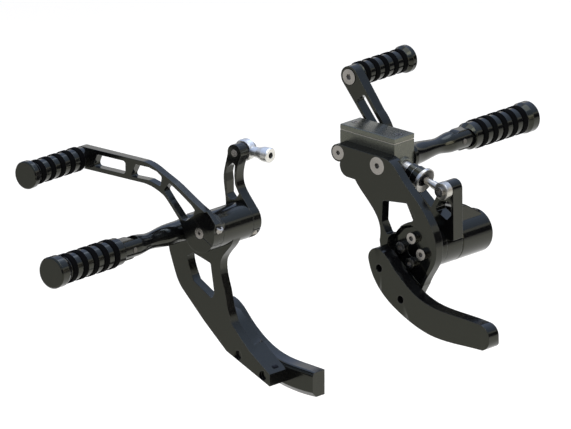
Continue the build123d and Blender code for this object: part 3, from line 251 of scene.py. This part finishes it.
def pick(piece):
    """Selects one object alone and makes it the active one."""
    bpy.ops.object.select_all(action="DESELECT")
    piece.select_set(True)
    bpy.context.view_layer.objects.active = piece


def edit_all(piece):
    """Opens one object alone in edit mode with all of its mesh selected."""
    pick(piece)
    bpy.ops.object.mode_set(mode="EDIT")
    bpy.ops.mesh.select_mode(type="VERT")
    bpy.ops.mesh.select_all(action="SELECT")


def finish_piece(piece, name, body, slot, material, *nodes):
    """Names a finished piece, gives it its finish, joins it to its body, and hides the nodes it stands for."""
    piece.name = name
    piece.data.name = name
    piece.data.materials.clear()
    piece.data.materials.append(material)
    pick(piece)
    bpy.ops.object.transform_apply(location=True, rotation=True, scale=True)
    bpy.ops.object.shade_smooth_by_angle(angle=math.radians(30))
    # Large flat faces keep their own direction beside small rounds.
    even = piece.modifiers.new("even", "WEIGHTED_NORMAL")
    even.keep_sharp = True
    even.weight = 100
    bpy.ops.object.modifier_apply(modifier=even.name)
    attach(piece, body)
    if nodes:
        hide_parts(*nodes)


def finish_milled(piece, name, node):
    """Finishes a milled black piece that stands for one node of the fixed parts."""
    milled = bpy.data.materials["anodised_aluminium_milled"]
    finish_piece(piece, name, "fixed_parts", "black_anodised", milled, node)


def merged_copy(node, name):
    """Copies a CAD node's mesh into a new object and merges its loose triangles into whole faces."""
    piece = bpy.data.objects.new(name, frame["nodes"][node].data.copy())
    bpy.context.scene.collection.objects.link(piece)
    edit_all(piece)
    bpy.ops.mesh.remove_doubles(threshold=0.002 * MM)
    bpy.ops.object.mode_set(mode="OBJECT")
    return piece


def flatten(piece):
    """Joins triangles that lie in one plane into whole faces."""
    edit_all(piece)
    bpy.ops.mesh.dissolve_limited(angle_limit=math.radians(0.4))
    bpy.ops.object.mode_set(mode="OBJECT")


def rod(start, end, radius, vertices=48):
    """Adds a plain round bar between two points given in millimetres, to be shaped further."""
    start, end = Vector(start) * MM, Vector(end) * MM
    bpy.ops.object.select_all(action="DESELECT")
    bpy.ops.mesh.primitive_cylinder_add(
        vertices=vertices,
        radius=radius * MM,
        depth=(end - start).length,
        location=(start + end) / 2,
        rotation=(end - start).to_track_quat("Z", "Y").to_euler(),
    )
    return bpy.context.object


def combine(piece, tool, how):
    """Joins or cuts a piece with a tool shape and removes the tool."""
    cut = piece.modifiers.new("combine", "BOOLEAN")
    cut.operation = how
    cut.solver = "EXACT"
    cut.object = tool
    pick(piece)
    bpy.ops.object.modifier_apply(modifier=cut.name)
    bpy.data.objects.remove(tool)


def ease(piece, width, segments=3):
    """Rounds the sharp edges of a piece by a width in millimetres."""
    round_off = piece.modifiers.new("ease", "BEVEL")
    round_off.width = width * MM
    round_off.segments = segments
    round_off.limit_method = "ANGLE"
    round_off.angle_limit = math.radians(40)
    pick(piece)
    bpy.ops.object.modifier_apply(modifier=round_off.name)


def prism(outline, start, end, axis):
    """Extrudes an outline in millimetres, (y, z) along X or (x, z) along Y."""
    bpy.ops.object.select_all(action="DESELECT")
    bpy.ops.mesh.primitive_circle_add(vertices=len(outline), radius=0.01, fill_type="NGON")
    piece = bpy.context.object
    for vertex, (across, z) in zip(piece.data.vertices, outline):
        vertex.co = Vector((start, across, z) if axis == "X" else (across, start, z)) * MM
    depth = (end - start) * MM
    edit_all(piece)
    bpy.ops.mesh.extrude_region_move(
        TRANSFORM_OT_translate={"value": (depth, 0, 0) if axis == "X" else (0, depth, 0)}
    )
    bpy.ops.mesh.select_all(action="SELECT")
    bpy.ops.mesh.normals_make_consistent(inside=False)
    bpy.ops.object.mode_set(mode="OBJECT")
    return piece


def colour_property(name, description, code):
    """A colour that a user may change, given as an sRGB hex value."""
    return bpy.props.FloatVectorProperty(
        name=name, description=description, subtype="COLOR", size=4, min=0.0, max=1.0, default=linear(code)
    )


def length_property(name, description, default, low, high):
    """A length that a user may change, given in millimetres and kept in metres."""
    return bpy.props.FloatProperty(
        name=name, description=description, unit="LENGTH", default=default * MM, min=low * MM, max=high * MM
    )


def angle_property(name, description, default, low, high):
    """An angle that a user may change, given in degrees and kept in radians."""
    return bpy.props.FloatProperty(
        name=name,
        description=description,
        subtype="ANGLE",
        default=math.radians(default),
        min=math.radians(low),
        max=math.radians(high),
    )


class FootControlSettings(bpy.types.PropertyGroup):
    anodised_dark: colour_property("Anodised, dark", "Ground colour of the black dye", "#060607")
    anodised_light: colour_property("Anodised, light", "Paler clouds in the dye", "#0d0d0e")
    # The edge colour is a painted highlight mixed into the eased edges.
    anodised_edge_highlight: colour_property("Anodised, edge", "Colour of the eased edges", "#4a4c50")
    blasted_dark: colour_property("Blasted, dark", "Ground colour of the blasted tank", "#2a2b29")
    blasted_light: colour_property("Blasted, light", "Paler clouds on the blasted tank", "#343532")
    edge_ease: length_property("Edge ease", "Rounding of the edges, as light shows it", 0.8, 0.05, 2.0)
    carrier_round: length_property("Carrier round", "Rounding of the carrier's rims", 2.5, 0.2, 6.0)
    plate_corner: length_property("Plate corner", "Radius of the frame plate's lower corner", 13.0, 1.0, 14.0)
    seat_radius: length_property("Bolt seat", "Radius of the left bracket's bolt seats", 5.2, 3.0, 5.3)
    cylinder_slope: angle_property("Cylinder slope", "Fall of the cylinder to the rear", 18.7, 0.0, 45.0)


class StudioSettings(bpy.types.PropertyGroup):
    lens: bpy.props.FloatProperty(
        name="Lens", description="Focal length", unit="CAMERA", default=1000.0, min=20.0, max=1300.0
    )
    floor_drop: length_property("Floor drop", "Floor below the lowest point", 280.0, 0.0, 2000.0)
    flag_low: angle_property("Flag, lower edge", "Elevation of the flag's lower edge", -2.0, -30.0, 30.0)
    flag_high: angle_property("Flag, upper edge", "Elevation of the flag's upper edge", 15.0, -30.0, 60.0)
    flag_dip: angle_property("Flag, dip", "Elevation of its upper edge behind the set", 7.0, -30.0, 60.0)


class FOOT_OT_anodised(bpy.types.Operator):
    """Give the plates, levers, pegs and housings their black anodised finish"""

    bl_idname = "foot.anodised"
    bl_label = "Anodised aluminium"

    def execute(self, context):
        settings = context.scene.foot_controls
        dyes = (settings.anodised_dark, settings.anodised_light)
        hazed = (settings.blasted_dark, settings.blasted_light)
        # Milled faces are flat and glossy, and turned ones have fine rings round their axis.
        milled = anodised_aluminium(settings, "anodised_aluminium_milled", dyes)
        turned = anodised_aluminium(settings, "anodised_aluminium_turned", dyes, "X")
        # Blasting with glass beads leaves a fine haze, so the tank and its lid look greyer and duller.
        tank = anodised_aluminium(settings, "anodised_aluminium_blasted", hazed, None, (0.26, 0.34), 1.75)
        lid = anodised_aluminium(settings, "anodised_aluminium_blasted_lid", hazed, None, (0.22, 0.28), 1.85)
        black = nodes_in("black_anodised")
        lathe = [n for n in black if "peg" in n or n in ("adjuster_collar", "pivot_carrier")]
        paint([n for n in black if n not in lathe], milled)
        paint(lathe, turned)
        paint(["master_cylinder"], tank)
        paint(["tank_lid"], lid)
        return {"FINISHED"}


class FOOT_OT_metals(bpy.types.Operator):
    """Give the screws, shafts, rod end and bushes their bare or plated metal"""

    bl_idname = "foot.metals"
    bl_label = "Screws, rod end and bushes"

    def execute(self, context):
        # Turned stainless steel: a warm mid grey whose reflections are soft.
        steel = satin_metal("stainless_steel_turned", "#7d7a75", "#9d9993", 0.26)
        paint(nodes_in("screw_steel"), steel)
        # Zinc plate: paler than bare steel and a little duller.
        plate = satin_metal("zinc_plated_steel", "#989690", "#bdbab3", 0.33)
        paint(nodes_in("bright_steel"), plate)
        # Sintered bronze: brown gold, matt from its pores.
        bronze = satin_metal("sintered_bronze", "#7a5a30", "#a07c48", 0.42)
        paint(nodes_in("bush_bronze"), bronze)
        # Black oxide: nearly black, with a dull metallic sheen.
        oxide = satin_metal("black_oxide_steel", "#0c0c0d", "#161617", 0.38)
        paint(nodes_in("black_steel"), oxide)
        # Brushed steel: a light dish in which the dark parts beside it only blur.
        paint(["cylinder_disc"], satin_metal("brushed_steel_dish", "#a09e98", "#b8b5ae", 0.34))
        # Nickel plate: the lightest metal of the set, nearly white where it faces up.
        paint(["rod_end_body"], satin_metal("nickel_plated_steel", "#c0bfba", "#d8d7d2", 0.36))
        # Ground steel, its grey darkened as painted shade for the shadow between the peg's cheeks: a dark
        # grey.
        shaded_pin = satin_metal("ground_steel_pin_painted_shade", "#4a4845", "#5f5c58", 0.3)
        paint(["left_peg_pin", "right_peg_pin"], shaded_pin)
        return {"FINISHED"}


class FOOT_OT_rubber(bpy.types.Operator):
    """Give the grip rings, boot and gasket their moulded rubber"""

    bl_idname = "foot.rubber"
    bl_label = "Rings, boot and gasket"

    def execute(self, context):
        # Nitrile rubber: the deepest black of the set, with next to no shine.
        rings = moulded_rubber("nitrile_rubber_moulded", "#010101", "#030303", 0.85, 0.04)
        paint(nodes_in("ring_rubber"), rings)
        # Soft rubber: a dark grey with a faint sheen.
        boot = moulded_rubber("soft_rubber_moulded", "#0a0a0b", "#141416", 0.6, 0.25)
        paint(nodes_in("soft_rubber"), boot)
        # Undyed rubber: a pale line under the lid.
        paint(["tank_gasket"], moulded_rubber("undyed_rubber_moulded", "#85827a", "#9b978c", 0.6, 0.25))
        return {"FINISHED"}


class FOOT_OT_carrier(bpy.types.Operator):
    """Turn the brake pivot's carrier, with the gusset on its back"""

    bl_idname = "foot.carrier"
    bl_label = "Brake pivot carrier"

    def execute(self, context):
        rim = millimetres(context.scene.foot_controls.carrier_round)
        axis_x, axis_z = 44.8, -89.6
        inner, outer = 204.3, 257.0
        shaft_end = 228.3
        piece = rod((axis_x, inner, axis_z), (axis_x, outer, axis_z), 24.6, 160)
        ease(piece, rim, 6)
        side = [(inner, -80), (inner, -51.5), (223, -51.5), (250, -66.5), (250, -80)]
        gusset = prism(side, 34, 58, "X")
        ease(gusset, 1.2)
        combine(piece, gusset, "UNION")
        bore = rod((axis_x, inner - 1, axis_z), (axis_x, shaft_end, axis_z), 8.0)
        combine(piece, bore, "DIFFERENCE")
        finish_milled(piece, "carrier_turned", "pivot_carrier")
        return {"FINISHED"}


class FOOT_OT_frame_plate(bpy.types.Operator):
    """Round the lower corner at the rear end of the right frame plate"""

    bl_idname = "foot.frame_plate"
    bl_label = "Right frame plate"

    def execute(self, context):
        radius = millimetres(context.scene.foot_controls.plate_corner)
        # The plate's lower rear corner. The tool spans more than the plate's thickness.
        x, z = 177.0, -174.0
        inner, outer = 110, 150
        corner = rod((x - radius, inner, z + radius), (x - radius, outer, z + radius), radius, 96)
        bpy.ops.object.select_all(action="DESELECT")
        bpy.ops.mesh.primitive_cube_add(size=1, location=(x * MM, (inner + outer) / 2 * MM, z * MM))
        tool = bpy.context.object
        tool.dimensions = (2 * radius * MM, (outer - inner) * MM, 2 * radius * MM)
        bpy.ops.object.transform_apply(location=True, rotation=True, scale=True)
        combine(tool, corner, "DIFFERENCE")
        piece = merged_copy("right_frame_plate", "right_frame_plate_rounded")
        combine(piece, tool, "DIFFERENCE")
        finish_milled(piece, "right_frame_plate_rounded", "right_frame_plate")
        return {"FINISHED"}


class FOOT_OT_bracket(bpy.types.Operator):
    """Close the deep bolt seats at the foot of the left bracket and bore shallow ones beside its lower edge"""

    bl_idname = "foot.bracket"
    bl_label = "Left bracket"

    def execute(self, context):
        radius = millimetres(context.scene.foot_controls.seat_radius)
        outer, inner = -168, -140
        seat_depth = 4
        piece = merged_copy("left_bracket", "left_bracket_bored")
        edge_below = [(56, -134.74), (65.1, -138.9), (109.2, -159)]
        edge_above = [(109.2, -145.5), (85.2, -128.4), (76, -121), (58, -120)]
        foot = edge_below + edge_above
        combine(piece, prism(foot, outer, inner, "Y"), "UNION")
        for x, z in ((64.0, -132.4), (99.3, -148.6)):
            seat = rod((x, outer - 2, z), (x, outer + seat_depth, z), radius, 64)
            combine(piece, seat, "DIFFERENCE")
        flatten(piece)
        finish_milled(piece, "left_bracket_bored", "left_bracket")
        return {"FINISHED"}


class FOOT_OT_cylinder(bpy.types.Operator):
    """Add the bright rings between the collars of the brake cylinder and the sleeve on the push rod"""

    bl_idname = "foot.cylinder"
    bl_label = "Cylinder rings and push rod sleeve"

    def execute(self, context):
        slope = context.scene.foot_controls.cylinder_slope
        mouth = Vector((11.4, 173.3, -7.0))
        along = Vector((math.cos(slope), 0, -math.sin(slope)))
        plate = bpy.data.materials["zinc_plated_steel"]
        # Name, distance from the cylinder's mouth, outer radius and bore, in millimetres.
        rings = (("collar_ring_front", 16.95, 10.9, 9.9), ("collar_ring_rear", 26.3, 12.4, 10.5))
        for name, start, radius, bore in rings:
            ring = rod(mouth + along * start, mouth + along * (start + 0.9), radius, 96)
            hole = rod(mouth + along * (start - 1), mouth + along * (start + 2), bore, 96)
            combine(ring, hole, "DIFFERENCE")
            ease(ring, 0.2, 2)
            finish_piece(ring, name, "fixed_parts", "bright_steel", plate)
        # The push rod runs from its tip in the piston to its eye on the pedal.
        tip = mouth - along * 8.0
        eye = Vector((67.2, 173.4, -22.9))
        way = (eye - tip).normalized()
        reach = (eye - tip).length
        sleeve = rod(tip + way * (reach - 26.5), tip + way * (reach - 9.5), 3.9, 64)
        hole = rod(tip + way * (reach - 30), tip + way * (reach - 5), 3.02, 48)
        combine(sleeve, hole, "DIFFERENCE")
        ease(sleeve, 0.5)
        finish_piece(sleeve, "pushrod_sleeve", "pushrod", "bright_steel", plate)
        return {"FINISHED"}


class FOOT_OT_studio(bpy.types.Operator):
    """Set up the pale floor, the soft lights, the black flag and the camera"""

    bl_idname = "foot.studio"
    bl_label = "Studio"

    def execute(self, context):
        settings = context.scene.foot_studio
        scene = context.scene
        scene.view_settings.view_transform = "Standard"
        self.floor(CAD_BOX[0][2] - settings.floor_drop)
        self.flag(settings)
        self.card()
        self.lights()
        self.world(scene)
        self.camera(scene, settings)
        return {"FINISHED"}

    def stand(self, piece, name, material):
        """Names a piece of the studio's equipment, which only gloss shows."""
        piece.name = name
        piece.data.materials.append(material)
        piece.visible_camera = False
        piece.visible_diffuse = False
        piece.visible_shadow = False

    def floor(self, height):
        bpy.ops.object.select_all(action="DESELECT")
        bpy.ops.mesh.primitive_plane_add(size=60, location=(0, 0, height))
        floor = bpy.context.object
        floor.name = "floor"
        bpy.ops.object.transform_apply(location=True)
        material, shader = new_material("studio_floor_painted")
        shader.inputs["Base Color"].default_value = linear("#f2eedd")
        # The camera, gloss and glass see the far floor as white as the near floor.
        join(material, seen(material), shader, "Emission Strength")
        shader.inputs["Emission Color"].default_value = linear("#7c7c8a")
        shader.inputs["Roughness"].default_value = 0.9
        shader.inputs["Specular IOR Level"].default_value = 0.1
        floor.data.materials.append(material)

    def flag(self, settings):
        # A photographer's black flag round the set: gloss shows it as the dark band at the horizon.
        reach = 6.0
        low = reach * math.tan(settings.flag_low)
        high = reach * math.tan(settings.flag_high)
        bpy.ops.object.select_all(action="DESELECT")
        bpy.ops.mesh.primitive_cylinder_add(
            vertices=96,
            radius=reach,
            depth=high - low,
            end_fill_type="NOTHING",
            location=(0, 0, (high + low) / 2),
        )
        flag = bpy.context.object
        bpy.ops.object.transform_apply(location=True)
        # Straight behind the set the flag dips, so the flat tops see the white backdrop over it.
        # The dip starts 37 degrees to each side of there and is at its full depth 27 degrees to each side.
        behind = Vector((-math.sin(VIEW_TURN), math.cos(VIEW_TURN)))
        dip = reach * math.tan(settings.flag_dip)
        start, steepness = 0.80, 2.2
        for vertex in flag.data.vertices:
            near = max(0.0, (vertex.co.xy.normalized().dot(behind) - start) / (1 - start))
            if vertex.co.z > 0 and near > 0:
                vertex.co.z += (dip - vertex.co.z) * min(1.0, steepness * near)
        material, shader = new_material("flag_cloth_black")
        shader.inputs["Base Color"].default_value = linear("#050505")
        shader.inputs["Roughness"].default_value = 1.0
        shader.inputs["Specular IOR Level"].default_value = 0.0
        self.stand(flag, "flag", material)

    def card(self):
        # A blue-grey reflector card above the flag: slopes that look up to the rear show it.
        low_radius, low_height = 6.0, 2.5
        high_radius, high_height = 3.4, 6.0
        bpy.ops.object.select_all(action="DESELECT")
        bpy.ops.mesh.primitive_cone_add(
            vertices=96,
            radius1=low_radius,
            radius2=high_radius,
            depth=high_height - low_height,
            end_fill_type="NOTHING",
            location=(0, 0, (low_height + high_height) / 2),
        )
        card = bpy.context.object
        bpy.ops.object.transform_apply(location=True)
        material, shader = new_material("card_painted_blue_grey")
        shader.inputs["Base Color"].default_value = linear("#000000")
        shader.inputs["Emission Color"].default_value = linear("#bbcff8")
        place = add_node(material, "TexCoord").outputs["Object"]
        height = add_node(material, "SeparateXYZ", links={0: place}).outputs["Z"]
        levels = {"From Min": low_height, "From Max": high_height, "To Min": 0.85, "To Max": 1.7}
        fade = add_node(material, "MapRange", levels, {"Value": height})
        join(material, fade.outputs[0], shader, "Emission Strength")
        self.stand(card, "reflector_card", material)

    def lights(self):
        # Name, place and side in metres, power in watts and colour.
        for name, place, size, power, colour in (
            ("key_softbox", (1.6, -1.0, 2.6), 1.6, 42.0, "#ffffff"),
            ("sky_softbox", (0.3, 0.9, 3.0), 2.6, 60.0, "#dce6ff"),
            ("side_softbox", (2.4, 1.2, 0.6), 1.2, 14.0, "#fff6e6"),
        ):
            light = bpy.data.lights.new(name, "AREA")
            light.shape = "SQUARE"
            light.size = size
            light.energy = power
            light.color = linear(colour)[:3]
            lamp = bpy.data.objects.new(name, light)
            lamp.location = place
            lamp.rotation_euler = (-Vector(place)).to_track_quat("-Z", "Y").to_euler()
            lamp.visible_camera = False
            bpy.context.scene.collection.objects.link(lamp)

    def world(self, scene):
        world = bpy.data.worlds.new("studio_world")
        world.use_nodes = True
        world.node_tree.nodes.clear()
        scene.world = world
        light = add_node(world, "Background", {"Color": linear("#f2f5ff"), "Strength": 0.7})
        white = add_node(world, "Background", {"Color": (1, 1, 1, 1), "Strength": 1.0})
        mix = add_node(world, "MixShader", links={0: seen(world), 1: light.outputs[0], 2: white.outputs[0]})
        add_node(world, "OutputWorld", links={"Surface": mix.outputs[0]})

    def camera(self, scene, settings):
        data = bpy.data.cameras.new("camera")
        data.sensor_width = 36.0
        data.lens = settings.lens
        data.clip_end = 100.0
        camera = bpy.data.objects.new("camera", data)
        scene.collection.objects.link(camera)
        right = Vector((math.cos(VIEW_TURN), math.sin(VIEW_TURN), 0))
        away = Vector((math.sin(VIEW_TURN), -math.cos(VIEW_TURN), 0)) * math.cos(VIEW_RISE)
        away.z = math.sin(VIEW_RISE)
        up = away.cross(right)
        target = right * (PHOTO_MIDDLE[0] * MM) + up * (PHOTO_MIDDLE[1] * MM)
        view_width = PHOTO_WIDTH / PIXELS_PER_MM * MM
        place = target + away * (view_width * settings.lens / data.sensor_width)
        turn = Matrix((right, up, away)).transposed().to_4x4()
        camera.matrix_world = Matrix.Translation(place) @ turn
        scene.camera = camera


STEPS = (
    FOOT_OT_anodised,
    FOOT_OT_metals,
    FOOT_OT_rubber,
    FOOT_OT_carrier,
    FOOT_OT_frame_plate,
    FOOT_OT_bracket,
    FOOT_OT_cylinder,
    FOOT_OT_studio,
)


class FOOT_PT_panel(bpy.types.Panel):
    bl_label = "Foot controls"
    bl_idname = "FOOT_PT_panel"
    bl_space_type = "VIEW_3D"
    bl_region_type = "UI"
    bl_category = "Foot controls"

    def draw(self, context):
        for group in (context.scene.foot_controls, context.scene.foot_studio):
            for name in group.bl_rna.properties.keys():
                if name not in ("rna_type", "name"):
                    self.layout.prop(group, name)
        for step in STEPS:
            self.layout.operator(step.bl_idname)


CLASSES = (FootControlSettings, StudioSettings) + STEPS + (FOOT_PT_panel,)


def register():
    for cls in CLASSES:
        bpy.utils.register_class(cls)
    bpy.types.Scene.foot_controls = bpy.props.PointerProperty(type=FootControlSettings)
    bpy.types.Scene.foot_studio = bpy.props.PointerProperty(type=StudioSettings)


def unregister():
    del bpy.types.Scene.foot_studio
    del bpy.types.Scene.foot_controls
    for cls in reversed(CLASSES):
        bpy.utils.unregister_class(cls)


def main():
    register()
    for step in STEPS:
        getattr(bpy.ops.foot, step.bl_idname.split(".")[1])()


if __name__ == "__main__":
    main()
